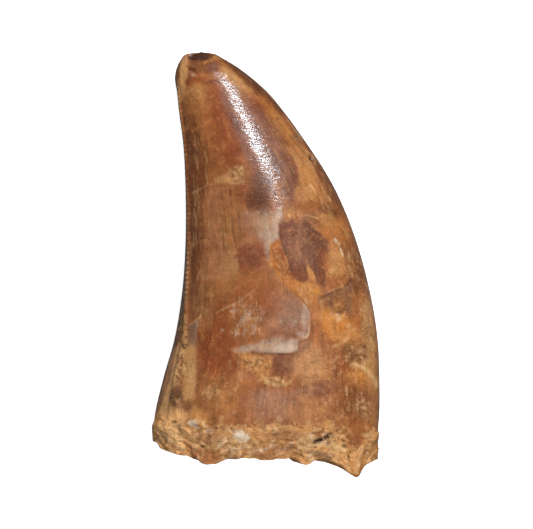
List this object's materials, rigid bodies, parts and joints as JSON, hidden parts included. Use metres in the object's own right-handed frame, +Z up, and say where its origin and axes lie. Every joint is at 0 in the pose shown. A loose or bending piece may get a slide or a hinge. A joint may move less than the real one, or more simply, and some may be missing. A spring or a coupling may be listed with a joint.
{
  "type": "fossil dinosaur tooth",
  "caption": "Recurved, laterally flattened fossil tooth crown with a serrated rear keel, a worn tip and a crusted broken root, lying on its side.",
  "frame": {"origin": "middle of the tooth's box, on the surface that the tooth lies on", "axes": "+Y along the tooth towards the tip, +X towards the convex front edge, +Z up out of the visible flank"},
  "size_m": [0.0302, 0.0548, 0.0154],
  "materials": {
    "fossil_enamel": "brown mineralised enamel with a stony gloss, dull porous tan root"
  },
  "bodies": {
    "root": {"tooth": "fossil_enamel"}
  },
  "joints": []
}
